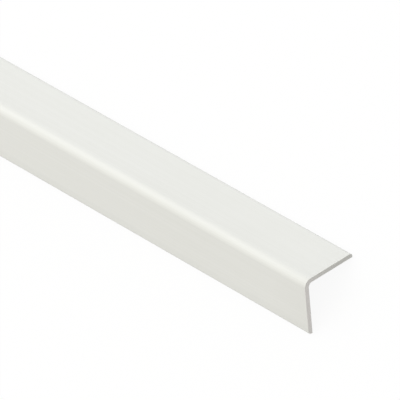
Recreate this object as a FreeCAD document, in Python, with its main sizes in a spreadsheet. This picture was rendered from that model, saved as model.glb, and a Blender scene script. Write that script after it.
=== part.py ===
import FreeCAD, Part
import math
import os
import Sketcher

# Corner guard moulding: an equal-leg angle in rigid PVC, extruded in one piece and sawn square at both ends.
# It lies ridge up on its two free edges. +X runs along the length and +Z up through the ridge.
# The origin is at floor level, under the middle of the length.

# Driving dimensions in millimetres
SIZES = {
    "stock_length": 1000.0,     # sawn end to sawn end
    "leg_width": 25.0,          # each leg, from the sharp outside corner to its free edge
    "wall": 2.0,                # the same through both legs
    "outer_bend_radius": 3.25,  # the ridge; less than the inner bend and the wall together, so the bend is thicker
    "inner_bend_radius": 1.75,  # at the corner that it guards
    "inner_edge_radius": 0.2,   # free edge, on the side of the guarded corner
    "edge_flat": 0.3,           # flat left on a free edge between its two rounded corners
}

# What follows from the driving dimensions, as expressions of the sheet's cells
OUTER_EDGE_RADIUS = "Sizes.wall - Sizes.inner_edge_radius - Sizes.edge_flat"
OUTSIDE_CORNER_HEIGHT = (
    "(Sizes.leg_width + Sizes.wall) / sqrt(2) - (sqrt(2) - 1) * Sizes.inner_edge_radius"
)

# The section is drawn square to the sketch's axes, and this turn about X brings the ridge to the top
RIDGE_UP_DEG = -135.0


def add_sheet(doc, sizes):
    """The spreadsheet of driving dimensions: a name and an aliased value in each row."""
    sheet = doc.addObject("Spreadsheet::Sheet", "Sizes")
    for row, (name, value) in enumerate(sizes.items(), start=1):
        sheet.set(f"A{row}", name)
        sheet.set(f"B{row}", str(value))
        sheet.setAlias(f"B{row}", name)
    doc.recompute()
    return sheet


def origin_plane(body, role):
    """One of the body's own origin planes."""
    return next(feature for feature in body.Origin.OriginFeatures if feature.Role == role)


def section_corners(sheet):
    """The section's six corners before rounding, counter-clockwise, each with the expression of its radius.

    Leg A lies along the sketch's first axis and leg B along its second; their outer faces meet at the origin.
    """
    leg = sheet.leg_width
    wall = sheet.wall
    return [
        ("outer_bend", (0.0, 0.0), "Sizes.outer_bend_radius"),
        ("outer_edge_a", (leg, 0.0), OUTER_EDGE_RADIUS),
        ("inner_edge_a", (leg, wall), "Sizes.inner_edge_radius"),
        ("inner_bend", (wall, wall), "Sizes.inner_bend_radius"),
        ("inner_edge_b", (wall, leg), "Sizes.inner_edge_radius"),
        ("outer_edge_b", (0.0, leg), OUTER_EDGE_RADIUS),
    ]


def add_section(body, sheet):
    """The extrusion's section, fully constrained: six straight faces joined by six tangent arcs."""
    sketch = body.newObject("Sketcher::SketchObject", "section")
    sketch.AttachmentSupport = (origin_plane(body, "YZ_Plane"), "")
    sketch.MapMode = "FlatFace"

    names, places, expressions = zip(*section_corners(sheet))
    corners = [FreeCAD.Vector(u, v, 0) for u, v in places]
    radii = [float(sheet.evalExpression(expression)) for expression in expressions]
    count = len(corners)

    # Face i runs from corner i to the next one, and stops short of both by their radii
    along = [(corners[(i + 1) % count] - corners[i]).normalize() for i in range(count)]
    for i in range(count):
        following = (i + 1) % count
        start = corners[i] + along[i] * radii[i]
        end = corners[following] - along[i] * radii[following]
        sketch.addGeometry(Part.LineSegment(start, end))

    # Arc i rounds corner i, between the face that comes in and the face that goes out
    for i in range(count):
        before = along[i - 1]
        after = along[i]
        centre = corners[i] + (after - before) * radii[i]
        middle = centre + (before - after).normalize() * radii[i]
        start = corners[i] - before * radii[i]
        end = corners[i] + after * radii[i]
        sketch.addGeometry(Part.Arc(start, middle, end))

    # Every arc meets its two faces end to end and smoothly; a sketch's arc starts at its clockwise end
    start_point, end_point = 1, 2
    for i in range(count):
        turns_left = along[i - 1].cross(along[i]).z > 0
        first, last = (start_point, end_point) if turns_left else (end_point, start_point)
        arc = count + i
        before_face = (i - 1) % count
        sketch.addConstraint(Sketcher.Constraint("Tangent", before_face, end_point, arc, first))
        sketch.addConstraint(Sketcher.Constraint("Tangent", i, start_point, arc, last))
        direction = "Vertical" if abs(along[i].y) > abs(along[i].x) else "Horizontal"
        sketch.addConstraint(Sketcher.Constraint(direction, i))

    def bind(name, expression, *constraint):
        index = sketch.addConstraint(Sketcher.Constraint(*constraint))
        sketch.renameConstraint(index, name)
        sketch.setExpression(f"Constraints.{name}", expression)

    for i, (name, radius) in enumerate(zip(names, radii)):
        bind(f"{name}_radius", expressions[i], "Radius", count + i, radius)

    # The outer faces lie on the sketch's axes; the free edges and inner faces are measured from its origin
    outer_face_a, free_edge_a, inner_face_a, inner_face_b, free_edge_b, outer_face_b = range(count)
    first_axis, second_axis = -1, -2
    origin = (-1, 1)
    sketch.addConstraint(Sketcher.Constraint("PointOnObject", outer_face_a, start_point, first_axis))
    sketch.addConstraint(Sketcher.Constraint("PointOnObject", outer_face_b, end_point, second_axis))
    leg = sheet.leg_width
    wall = sheet.wall
    bind("leg_a_width", "Sizes.leg_width", "DistanceX", *origin, free_edge_a, start_point, leg)
    bind("leg_b_width", "Sizes.leg_width", "DistanceY", *origin, free_edge_b, start_point, leg)
    bind("leg_a_wall", "Sizes.wall", "DistanceY", *origin, inner_face_a, start_point, wall)
    bind("leg_b_wall", "Sizes.wall", "DistanceX", *origin, inner_face_b, start_point, wall)
    return sketch


def add_corner_guard(doc, sheet):
    """The moulding: its section extruded equally both ways from the middle of the length."""
    body = doc.addObject("PartDesign::Body", "corner_guard")
    body.Label = "corner_guard"
    section = add_section(body, sheet)
    doc.recompute()
    extrusion = body.newObject("PartDesign::Pad", "extrusion")
    extrusion.Profile = section
    extrusion.SideType = "Symmetric"
    extrusion.setExpression("Length", "Sizes.stock_length")
    section.Visibility = False
    body.Placement = FreeCAD.Placement(
        FreeCAD.Vector(0, 0, 0),
        FreeCAD.Rotation(FreeCAD.Vector(1, 0, 0), RIDGE_UP_DEG),
    )
    body.setExpression("Placement.Base.z", OUTSIDE_CORNER_HEIGHT)
    doc.recompute()
    return body


def check(doc, bodies):
    """Stop if any object failed to recompute, a sketch is loose, or a sub-part's solid isn't sound."""
    for item in doc.Objects:
        if "Invalid" in item.State or "Error" in item.State:
            raise SystemExit(f"{item.Name} did not recompute: {item.State}")
        if item.TypeId == "Sketcher::SketchObject" and not item.FullyConstrained:
            raise SystemExit(f"{item.Name} is not fully constrained")
    for body in bodies:
        if body.Shape.isNull() or not body.Shape.isValid():
            raise SystemExit(f"{body.Label} has no sound solid")


def main():
    doc = FreeCAD.newDocument("corner_guard_moulding")
    sheet = add_sheet(doc, SIZES)
    bodies = [add_corner_guard(doc, sheet)]
    check(doc, bodies)
    os.makedirs("parts", exist_ok=True)
    for body in bodies:
        body.Shape.exportStep(f"parts/{body.Label}.step")
        box = body.Shape.BoundBox
        print(
            f"{body.Label}: {body.Shape.Volume:.1f} mm3, "
            f"x {box.XMin:.3f} to {box.XMax:.3f}, y {box.YMin:.3f} to {box.YMax:.3f}, z {box.ZMin:.3f} to {box.ZMax:.3f}"
        )


main()
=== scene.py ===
import math

import bpy
from mathutils import Matrix, Vector


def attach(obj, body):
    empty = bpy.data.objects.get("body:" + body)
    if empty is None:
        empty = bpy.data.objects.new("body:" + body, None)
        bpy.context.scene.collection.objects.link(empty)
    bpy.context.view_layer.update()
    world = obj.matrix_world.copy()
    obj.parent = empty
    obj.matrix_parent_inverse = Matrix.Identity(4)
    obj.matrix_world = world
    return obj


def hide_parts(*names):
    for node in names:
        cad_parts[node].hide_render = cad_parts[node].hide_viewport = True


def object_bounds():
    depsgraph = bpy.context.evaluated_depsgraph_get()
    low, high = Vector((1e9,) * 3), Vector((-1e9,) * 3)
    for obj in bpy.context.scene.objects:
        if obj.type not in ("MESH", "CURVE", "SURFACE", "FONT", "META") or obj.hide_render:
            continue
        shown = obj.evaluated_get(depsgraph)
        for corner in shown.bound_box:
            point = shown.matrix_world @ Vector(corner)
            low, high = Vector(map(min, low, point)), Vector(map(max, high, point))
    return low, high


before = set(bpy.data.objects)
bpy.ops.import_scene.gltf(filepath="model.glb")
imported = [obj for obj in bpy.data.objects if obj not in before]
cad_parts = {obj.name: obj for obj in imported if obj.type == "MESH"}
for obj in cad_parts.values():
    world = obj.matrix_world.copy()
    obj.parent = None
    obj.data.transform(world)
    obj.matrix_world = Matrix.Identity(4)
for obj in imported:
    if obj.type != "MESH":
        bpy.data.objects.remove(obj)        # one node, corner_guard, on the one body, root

cadLow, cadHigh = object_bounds()
cadSide = cadHigh - cadLow
print("frame: packed moulding", [round(1000 * side, 2) for side in cadSide], "mm")

scene = bpy.context.scene
scene.view_settings.view_transform = "Standard"
halfRoot = math.sqrt(0.5)            # the legs lean at 45 degrees
quarterTurn = math.pi / 2
cornerReach = math.sqrt(2) - 1       # how far a sharp square corner stands past its rounding, in radii


# Small helpers for node trees

def newNode(tree, kind, values=None, **settings):
    node = tree.nodes.new(kind)
    for key, value in settings.items():
        setattr(node, key, value)
    for socket, value in (values or {}).items():
        node.inputs[socket].default_value = value
    return node


def emptyTree(holder):
    holder.use_nodes = True
    holder.node_tree.nodes.clear()
    return holder.node_tree


def newGroup(name, inputs, outputs):
    tree = bpy.data.node_groups.new(name, "ShaderNodeTree")
    for socket, (kind, value) in inputs.items():
        made = tree.interface.new_socket(socket, in_out="INPUT", socket_type=kind)
        if value is not None:
            made.default_value = value
    for socket in outputs:
        tree.interface.new_socket(socket, in_out="OUTPUT", socket_type="NodeSocketFloat")
    return tree, newNode(tree, "NodeGroupInput"), newNode(tree, "NodeGroupOutput")


def placeGroup(tree, group, place, values):
    node = newNode(tree, "ShaderNodeGroup", values, node_tree=group)
    tree.links.new(place, node.inputs["Vector"])
    return node


def acrossSection(tree, place):
    # Metres from the ridge towards the +Y leg
    split = newNode(tree, "ShaderNodeSeparateXYZ")
    tree.links.new(place, split.inputs["Vector"])
    return split.outputs["Y"]


def smoothStep(tree, value, limits, most=1.0):
    # None at the first limit, the most from the second
    low, high = limits
    values = {"From Min": low, "From Max": high, "To Max": most}
    step = newNode(tree, "ShaderNodeMapRange", values, interpolation_type="SMOOTHSTEP")
    tree.links.new(value, step.inputs["Value"])
    return step.outputs["Result"]


def spread(tree, share, ends):
    # The first end where the share is 0, the second where it is 1
    first, second = ends
    between = newNode(tree, "ShaderNodeMapRange", {"To Min": first, "To Max": second})
    tree.links.new(share, between.inputs["Value"])
    return between.outputs["Result"]


def mixColours(tree, first, second, factor):
    mix = newNode(tree, "ShaderNodeMix", data_type="RGBA")
    for socket, colour in (("A", first), ("B", second)):
        if isinstance(colour, tuple):
            mix.inputs[socket].default_value = (*colour, 1)
        else:
            tree.links.new(colour, mix.inputs[socket])
    tree.links.new(factor, mix.inputs["Factor"])
    return mix.outputs["Result"]


def weighedSum(tree, terms):
    total = None
    for socket, weight in terms:
        step = newNode(tree, "ShaderNodeMath", {1: weight, 2: 0.0}, operation="MULTIPLY_ADD")
        tree.links.new(socket, step.inputs[0])
        if total:
            tree.links.new(total, step.inputs[2])
        total = step.outputs["Value"]
    return total


def reliefNormal(tree, height):
    bump = newNode(tree, "ShaderNodeBump", {"Distance": 1.0})    # the height comes in metres
    tree.links.new(height, bump.inputs["Height"])
    return bump.outputs["Normal"]


# Camera: the photograph's view of the section and the length, seen from above because the guard lies ridge up

view = {
    "frame": 400,                    # pixels a side
    "sensor": 36.0,                  # mm
    "lens": 644.0,                   # mm, nearly parallel lines
    "distance": 2.694,               # m, to the near corner, along the view
    "clip": (0.1, 100.0),            # m
    "azimuth": 93.68,                # degrees round the part
    "elevation": 51.08,
    "roll": 65.23,                   # brings the +Y leg to the top of the picture
    "nearCorner": (303.9, 281.6),    # pixel of the near end's sharp outside corner
}


def makeCamera(near):
    azimuth, elevation, roll = (math.radians(view[key]) for key in ("azimuth", "elevation", "roll"))
    back = Vector((
        math.sin(azimuth) * math.cos(elevation),
        -math.cos(azimuth) * math.cos(elevation),
        math.sin(elevation),
    ))
    levelRight = Vector((0, 0, 1)).cross(back).normalized()
    levelUp = back.cross(levelRight)
    up = levelUp * math.cos(roll) + levelRight * math.sin(roll)
    right = up.cross(back)
    pixelsPerRadian = view["lens"] / view["sensor"] * view["frame"]
    centre = (view["frame"] - 1) / 2
    across, down = ((pixel - centre) / pixelsPerRadian * view["distance"] for pixel in view["nearCorner"])
    place = near + back * view["distance"] - right * across + up * down
    data = bpy.data.cameras.new("photographView")
    data.sensor_width = view["sensor"]
    data.lens = view["lens"]
    data.clip_start, data.clip_end = view["clip"]
    camera = bpy.data.objects.new("photographView", data)
    camera.matrix_world = Matrix.Translation(place) @ Matrix((right, up, back)).transposed().to_4x4()
    scene.collection.objects.link(camera)
    scene.camera = camera
    print("camera: lens", view["lens"], "mm at", view["distance"], "m")


# The guard's skin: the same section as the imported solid, with finer arcs and the saw's edges eased

guard = {
    "legWidth": 0.025,
    "wall": 0.002,
    "innerBendRadius": 0.00175,
    "innerEdgeRadius": 0.0002,
    "bendSteps": 24,                 # facets round each bend
    "edgeSteps": 8,                  # facets round each arc of a free edge
    "faceSteps": 8,                  # strips across each face
    "faceMargin": 0.0004,            # narrow strip that keeps a face's shading flat up to its arcs
    "lengthSteps": 50,
    "sawnEase": 0.00012,             # rounding where the saw's burr is knocked off, under innerEdgeRadius
    "sawnEaseSteps": 3,
    "mapLeastStep": 0.003,           # a narrower strip still gets this much of the map's length
    "mapSides": 0.86,                # share of the map's height for the sides, the rest is for the ends
    "mapMargin": 0.01,
}
# The sharp corner's height, when the free edges' inner arcs stand on the floor
guard["cornerHeight"] = (
    (guard["legWidth"] + guard["wall"]) * halfRoot
    - cornerReach * guard["innerEdgeRadius"]
)
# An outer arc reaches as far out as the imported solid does
guard["outerBendRadius"] = (guard["cornerHeight"] - cadHigh.z) / cornerReach
guard["outerEdgeRadius"] = (guard["legWidth"] * halfRoot - cadHigh.y) / cornerReach


def sectionOutline():
    leg, wall = guard["legWidth"], guard["wall"]
    bend, edge = guard["bendSteps"], guard["edgeSteps"]
    margin, strips = guard["faceMargin"], guard["faceSteps"]
    corners = [
        ((0, 0), guard["outerBendRadius"], bend),
        ((leg, 0), guard["outerEdgeRadius"], edge),
        ((leg, wall), guard["innerEdgeRadius"], edge),
        ((wall, wall), guard["innerBendRadius"], bend),
        ((wall, leg), guard["innerEdgeRadius"], edge),
        ((0, leg), guard["outerEdgeRadius"], edge),
    ]
    places = [Vector(corner[0]) for corner in corners]
    outline = []                     # (point, outward normal), counter-clockwise
    for index, (_, radius, steps) in enumerate(corners):
        following = (index + 1) % len(corners)
        before = (places[index] - places[index - 1]).normalized()
        after = (places[following] - places[index]).normalized()
        turn = before.cross(after)   # 1 at a convex corner, -1 in the inner bend
        centre = places[index] + (after - before) * radius
        outward = Vector((before.y, -before.x))
        for step in range(steps + 1):
            angle = quarterTurn * step / steps
            normal = outward * math.cos(angle) + before * (turn * math.sin(angle))
            outline.append((centre + normal * (turn * radius), normal))
        start = places[index] + after * radius
        end = places[following] - after * corners[following][1]
        length = (end - start).length
        normal = Vector((after.y, -after.x))
        if length > wall:            # a face, not the thin flat of a free edge
            inner = length - 2 * margin
            distances = [margin + inner * strip / strips for strip in range(strips + 1)]
            outline += [(start + after * distance, normal) for distance in distances]
    return outline


def toRow(x, place):
    across = (place.y - place.x) * halfRoot
    height = guard["cornerHeight"] - (place.x + place.y) * halfRoot
    return Vector((x, across, height))


def runningTotals(lengths):
    totals = [0.0]
    for length in lengths:
        totals.append(totals[-1] + length)
    return [total / totals[-1] for total in totals]


def addBakeMap(mesh, outline, rings):
    # The sides unrolled: the length across the map, the section up it, with the seam inside the inner bend
    count = len(outline)
    margin, sides = guard["mapMargin"], guard["mapSides"]
    places = [place for place, _ in outline]
    innerCorner = Vector((guard["wall"], guard["wall"]))
    seam = min(range(count), key=lambda index: (places[index] - innerCorner).length)
    places = places[seam:] + places[:seam + 1]
    stepsUp = [(b - a).length for a, b in zip(places, places[1:])]
    stepsAcross = [max(b - a, guard["mapLeastStep"]) for (a, _), (b, _) in zip(rings, rings[1:])]
    up = [margin + (sides - 2 * margin) * share for share in runningTotals(stepsUp)]
    across = [margin + (1 - 2 * margin) * share for share in runningTotals(stepsAcross)]
    layer = mesh.uv_layers.new(name="OFBake")
    sideCount = count * (len(rings) - 1)
    for polygon in mesh.polygons[:sideCount]:
        ring, step = divmod(polygon.index, count)
        low = (step - seam) % count
        corners = ((ring, low), (ring, low + 1), (ring + 1, low + 1), (ring + 1, low))
        for loop, (column, row) in zip(polygon.loop_indices, corners):
            layer.data[loop].uv = (1 - across[column], up[row])
    # Each end lies flat in its own half of the strip above them
    nearEnd, farEnd = mesh.polygons[sideCount:]
    room = 0.5 - 2 * margin
    for polygon, start, width in ((nearEnd, margin, room), (farEnd, 1 - margin, -room)):
        for loop in polygon.loop_indices:
            point = mesh.vertices[mesh.loops[loop].vertex_index].co
            layer.data[loop].uv = (
                start + width * (point.y - cadLow.y) / cadSide.y,
                sides + (1 - sides - margin) * (point.z - cadLow.z) / cadSide.z,
            )


def makeGuard(skin, sawn):
    outline = sectionOutline()
    count = len(outline)
    half = cadSide.x / 2
    ease, easeSteps = guard["sawnEase"], guard["sawnEaseSteps"]
    easing = [quarterTurn * step / easeSteps for step in range(easeSteps + 1)]
    nearEnd = [(half - ease * (1 - math.sin(angle)), ease * (1 - math.cos(angle))) for angle in easing]
    inside = half - ease
    steps = guard["lengthSteps"]
    middle = [(inside * (2 * step / steps - 1), 0.0) for step in range(1, steps)]
    rings = [(-x, inset) for x, inset in reversed(nearEnd)] + middle + nearEnd
    points = [toRow(x, place - normal * inset) for x, inset in rings for place, normal in outline]
    faces = []
    for ring in range(len(rings) - 1):
        for step in range(count):
            a, b = ring * count + step, ring * count + (step + 1) % count
            faces.append((a, b, b + count, a + count))
    last = (len(rings) - 1) * count
    ends = [tuple(range(last, last + count)), tuple(reversed(range(count)))]
    mesh = bpy.data.meshes.new("corner_guard_moulding")
    mesh.from_pydata(points, [], faces + ends)
    mesh.materials.append(skin)
    mesh.materials.append(sawn)
    for polygon in mesh.polygons:
        isEnd = polygon.index >= len(faces)
        polygon.use_smooth = not isEnd
        polygon.material_index = 1 if isEnd else 0
    addBakeMap(mesh, outline, rings)
    mesh.validate()
    piece = bpy.data.objects.new("corner_guard_moulding", mesh)
    scene.collection.objects.link(piece)
    print("guard:", count, "points round the section,", len(mesh.polygons), "faces")
    return piece


# Effects that the finishes are made from; a mask or a height runs from 0 to 1, and sizes are in metres

effects = {
    "lineNoise": {"Scale": 1.0, "Detail": 2.0, "Roughness": 0.6},
    "lineLimits": (0.35, 0.65),      # noise below the first leaves no line, above the second a full one
    "patchNoise": {"Scale": 1.0, "Detail": 3.0, "Roughness": 0.55},
}


def sizedNoise(tree, place, size, values):
    sized = newNode(tree, "ShaderNodeVectorMath", operation="DIVIDE")
    tree.links.new(place, sized.inputs[0])
    tree.links.new(size, sized.inputs[1])
    noise = newNode(tree, "ShaderNodeTexNoise", values)
    tree.links.new(sized.outputs["Vector"], noise.inputs["Vector"])
    return noise.outputs["Fac"]


def makeDrawLines():
    tree, inside, outside = newGroup(
        "drawLines",
        {
            "Vector": ("NodeSocketVector", None),
            "Spacing": ("NodeSocketFloat", 0.0005),    # across the lines
            "Run": ("NodeSocketFloat", 0.3),           # along the extrusion before a line fades
        },
        ["Mask", "Height"],
    )
    size = newNode(tree, "ShaderNodeCombineXYZ")
    for axis, socket in (("X", "Run"), ("Y", "Spacing"), ("Z", "Spacing")):
        tree.links.new(inside.outputs[socket], size.inputs[axis])
    lines = sizedNoise(tree, inside.outputs["Vector"], size.outputs["Vector"], effects["lineNoise"])
    tree.links.new(smoothStep(tree, lines, effects["lineLimits"]), outside.inputs["Mask"])
    tree.links.new(lines, outside.inputs["Height"])
    return tree


def makePatches():
    tree, inside, outside = newGroup(
        "patches",
        {
            "Vector": ("NodeSocketVector", None),
            "Size": ("NodeSocketFloat", 0.03),
            "Least": ("NodeSocketFloat", 0.4),         # noise below this leaves the surface bare
            "Most": ("NodeSocketFloat", 0.7),          # noise above this covers it
        },
        ["Mask", "Height"],
    )
    cloud = sizedNoise(tree, inside.outputs["Vector"], inside.outputs["Size"], effects["patchNoise"])
    cut = newNode(tree, "ShaderNodeMapRange", interpolation_type="SMOOTHSTEP")
    tree.links.new(cloud, cut.inputs["Value"])
    tree.links.new(inside.outputs["Least"], cut.inputs["From Min"])
    tree.links.new(inside.outputs["Most"], cut.inputs["From Max"])
    tree.links.new(cut.outputs["Result"], outside.inputs["Mask"])
    tree.links.new(cloud, outside.inputs["Height"])
    return tree


# Rigid PVC: a shader with what both finishes share

pvcIor = 1.53


def newFinish(name, colour, roughness):
    material = bpy.data.materials.new(name)
    material.diffuse_color = (*colour, 1.0)
    material.roughness = roughness
    tree = emptyTree(material)
    shader = newNode(tree, "ShaderNodeBsdfPrincipled", {"IOR": pvcIor})
    output = newNode(tree, "ShaderNodeOutputMaterial")
    tree.links.new(shader.outputs["BSDF"], output.inputs["Surface"])
    place = newNode(tree, "ShaderNodeTexCoord").outputs["Object"]
    return material, tree, shader, place


# The sides: satin, as they leave the die

satin = {
    "colour": (0.834, 0.840, 0.804),
    "deepColour": (0.798, 0.805, 0.763),       # where the resin is a shade deeper
    "tintShares": (0.27, 0.2, 0.53),           # of the clouds, the flow streaks and the fine lines
    "clouds": {"Size": 0.05, "Least": 0.35, "Most": 0.7},
    "flow": {"Spacing": 0.0022, "Run": 0.5},
    "edgeShadeColour": (0.764, 0.773, 0.737),       # painted shade: the -Y leg a little darker towards its free edge
    "edgeShadeBand": (-0.0129, -0.0148),            # across the section: none at the first, full from the second
    "edgeShadeWander": 0.0012,                      # how far that band's limit wanders along the length
    "edgeShadeShare": 0.42,
    "roughness": (0.45, 0.37),                 # as drawn, and where hands and sleeves have smoothed it
    "handled": {"Size": 0.025, "Least": 0.45, "Most": 0.65},
    "fineLines": {"Spacing": 0.00045, "Run": 0.25},
    "fineDepth": 0.000011,
    "dieLines": {"Spacing": 0.0024, "Run": 4.0},    # the die's own marks, the whole length long
    "dieDepth": 0.000018,
    "grain": {"Size": 0.00014},
    "grainDepth": 0.0000016,
}


def makeSatin(drawLines, patches):
    material, tree, shader, place = newFinish("satinPvc", satin["colour"], satin["roughness"][1])
    clouds = placeGroup(tree, patches, place, satin["clouds"])
    handled = placeGroup(tree, patches, place, satin["handled"])
    grain = placeGroup(tree, patches, place, satin["grain"])
    flow = placeGroup(tree, drawLines, place, satin["flow"])
    fineLines = placeGroup(tree, drawLines, place, satin["fineLines"])
    dieLines = placeGroup(tree, drawLines, place, satin["dieLines"])
    cloudShare, flowShare, fineShare = satin["tintShares"]
    tint = weighedSum(tree, [
        (clouds.outputs["Mask"], cloudShare),
        (flow.outputs["Mask"], flowShare),
        (fineLines.outputs["Mask"], fineShare),
    ])
    resin = mixColours(tree, satin["colour"], satin["deepColour"], tint)
    # Painted shade: the -Y leg darker towards its free edge, in a band whose limit wanders along the length
    wandering = weighedSum(tree, [
        (acrossSection(tree, place), 1.0),
        (clouds.outputs["Height"], satin["edgeShadeWander"]),
    ])
    edge = smoothStep(tree, wandering, satin["edgeShadeBand"], satin["edgeShadeShare"])
    colour = mixColours(tree, resin, satin["edgeShadeColour"], edge)
    roughness = spread(tree, handled.outputs["Mask"], satin["roughness"])
    relief = weighedSum(tree, [
        (fineLines.outputs["Height"], satin["fineDepth"]),
        (dieLines.outputs["Height"], satin["dieDepth"]),
        (grain.outputs["Height"], satin["grainDepth"]),
    ])
    tree.links.new(colour, shader.inputs["Base Color"])
    tree.links.new(roughness, shader.inputs["Roughness"])
    tree.links.new(reliefNormal(tree, relief), shader.inputs["Normal"])
    return material


# The sawn ends: dull, with the blade's arcs across the section, painted light on the -Y side and scattered
# dust specks

sawnFace = {
    "colour": (0.772, 0.777, 0.742),
    "rubbedColour": (0.732, 0.739, 0.705),     # where the blade's side has rubbed a band darker
    "rubbedLimits": (0.4, 0.6),                # of the marks' noise
    # pale: painted light on the -Y side of the ends, and the colour of dust specks
    "dustAndLightColour": (0.922, 0.905, 0.885),
    "paintedLightAcross": (0.009, -0.005),             # none at the first, full from the second, across the section: painted light on the -Y side
    "lightAndDustShares": (0.85, 0.15),                # of the painted light on that side of the section and of scattered dust specks
    "specks": {"Size": 0.0009, "Least": 0.4, "Most": 0.7},
    "roughness": (0.55, 0.75),
    "bladeCentre": (0.0, 0.085, 0.095),        # 115 mm from the ridge, for a blade of about 250 mm
    "markSpacing": 0.0005,
    "markDetail": 2.0,
    "markDepth": 0.00005,
    "pits": {"Size": 0.0003, "Least": 0.5, "Most": 0.7},
    "pitDepth": 0.00002,
}


def makeSawn(patches):
    material, tree, shader, place = newFinish("sawnPvc", sawnFace["colour"], sawnFace["roughness"][0])
    specks = placeGroup(tree, patches, place, sawnFace["specks"])
    pits = placeGroup(tree, patches, place, sawnFace["pits"])
    # Without the length, so that both ends are cut alike
    flat = newNode(tree, "ShaderNodeVectorMath", {1: (0, 1, 1)}, operation="MULTIPLY")
    tree.links.new(place, flat.inputs[0])
    reach = newNode(tree, "ShaderNodeVectorMath", {1: sawnFace["bladeCentre"]}, operation="DISTANCE")
    tree.links.new(flat.outputs["Vector"], reach.inputs[0])
    markValues = {"Scale": 1 / sawnFace["markSpacing"], "Detail": sawnFace["markDetail"]}
    marks = newNode(tree, "ShaderNodeTexNoise", markValues, noise_dimensions="1D")
    tree.links.new(reach.outputs["Value"], marks.inputs["W"])
    rubbed = smoothStep(tree, marks.outputs["Fac"], sawnFace["rubbedLimits"])
    cut = mixColours(tree, sawnFace["colour"], sawnFace["rubbedColour"], rubbed)
    # Painted light makes the -Y side of each end paler; dust specks are scattered over both ends
    litSideShare, speckShare = sawnFace["lightAndDustShares"]
    dustAndLight = weighedSum(tree, [
        (smoothStep(tree, acrossSection(tree, place), sawnFace["paintedLightAcross"]), litSideShare),
        (specks.outputs["Mask"], speckShare),
    ])
    colour = mixColours(tree, cut, sawnFace["dustAndLightColour"], dustAndLight)
    roughness = spread(tree, marks.outputs["Fac"], sawnFace["roughness"])
    relief = weighedSum(tree, [
        (marks.outputs["Fac"], sawnFace["markDepth"]),
        (pits.outputs["Mask"], -sawnFace["pitDepth"]),
    ])
    tree.links.new(colour, shader.inputs["Base Color"])
    tree.links.new(roughness, shader.inputs["Roughness"])
    tree.links.new(reliefNormal(tree, relief), shader.inputs["Normal"])
    return material


# Studio: a pale floor, an even surround and soft lamps

studio = {
    "floorHalf": 30.0,                     # m
    "floorColour": (0.30, 0.30, 0.30),     # what the floor gives back to the guard
    "shadedColour": (0.95, 0.95, 0.95),    # the white floor as lit, with the guard's shadow
    "shadowShare": 0.08,                   # how much of that shows in plain white
    "surround": (0.868, 0.848, 0.828),
    "white": {"Color": (1, 1, 1, 1), "Strength": 1.0},
}
# Places and sizes in m, power in W
lamps = [
    {"name": "overhead", "at": (-1.2, 0.1, 2.4), "size": 2.6, "colour": (0.94, 1, 0.98), "power": 20.0},
    {"name": "plusSide", "at": (0.0, 2.6, 0.6), "size": 1.6, "colour": (0.78, 0.85, 1), "power": 12.4},
]


def showInstead(tree, lighting, shown, output):
    # The camera sees what is shown, also in a reflection or through glass, and the guard is lit by the rest
    rays = newNode(tree, "ShaderNodeLightPath")
    direct = rays.outputs["Is Camera Ray"]
    for ray in ("Is Glossy Ray", "Is Transmission Ray"):
        either = newNode(tree, "ShaderNodeMath", operation="MAXIMUM")
        tree.links.new(direct, either.inputs[0])
        tree.links.new(rays.outputs[ray], either.inputs[1])
        direct = either.outputs["Value"]
    mix = newNode(tree, "ShaderNodeMixShader")
    tree.links.new(direct, mix.inputs["Fac"])
    tree.links.new(lighting, mix.inputs[1])
    tree.links.new(shown, mix.inputs[2])
    tree.links.new(mix.outputs["Shader"], output.inputs["Surface"])


def makeSurround():
    world = bpy.data.worlds.new("paleSurround")
    tree = emptyTree(world)
    light = newNode(tree, "ShaderNodeBackground", {"Color": (*studio["surround"], 1), "Strength": 1.0})
    white = newNode(tree, "ShaderNodeBackground", studio["white"])
    output = newNode(tree, "ShaderNodeOutputWorld")
    showInstead(tree, light.outputs["Background"], white.outputs["Background"], output)
    scene.world = world


def makeFloor():
    material = bpy.data.materials.new("paleFloor")
    tree = emptyTree(material)
    bounce = newNode(tree, "ShaderNodeBsdfDiffuse", {"Color": (*studio["floorColour"], 1)})
    shaded = newNode(tree, "ShaderNodeBsdfDiffuse", {"Color": (*studio["shadedColour"], 1)})
    white = newNode(tree, "ShaderNodeEmission", studio["white"])
    seen = newNode(tree, "ShaderNodeMixShader", {"Fac": studio["shadowShare"]})
    tree.links.new(white.outputs["Emission"], seen.inputs[1])
    tree.links.new(shaded.outputs["BSDF"], seen.inputs[2])
    output = newNode(tree, "ShaderNodeOutputMaterial")
    showInstead(tree, bounce.outputs["BSDF"], seen.outputs["Shader"], output)
    half = studio["floorHalf"]
    corners = [(-half, -half, 0), (half, -half, 0), (half, half, 0), (-half, half, 0)]
    mesh = bpy.data.meshes.new("floor")
    mesh.from_pydata(corners, [], [(0, 1, 2, 3)])
    mesh.materials.append(material)
    floor = bpy.data.objects.new("floor", mesh)
    scene.collection.objects.link(floor)


def makeLamps():
    for lamp in lamps:
        data = bpy.data.lights.new(lamp["name"], "AREA")
        data.shape = "DISK"
        data.size = lamp["size"]
        data.color = lamp["colour"]
        data.energy = lamp["power"]
        source = bpy.data.objects.new(lamp["name"], data)
        source.location = lamp["at"]
        source.rotation_euler = (-Vector(lamp["at"])).to_track_quat("-Z", "Y").to_euler()
        source.visible_camera = False
        scene.collection.objects.link(source)
    print("studio:", len(lamps), "lamps, surround and floor")


makeCamera(Vector((cadHigh.x, 0, guard["cornerHeight"])))

drawLines, patches = makeDrawLines(), makePatches()
satinSides = makeSatin(drawLines, patches)
sawnEnds = makeSawn(patches)
print("finishes:", satinSides.name, "and", sawnEnds.name)

moulding = makeGuard(satinSides, sawnEnds)
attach(moulding, "root")
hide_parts("corner_guard")

makeSurround()
makeFloor()
makeLamps()
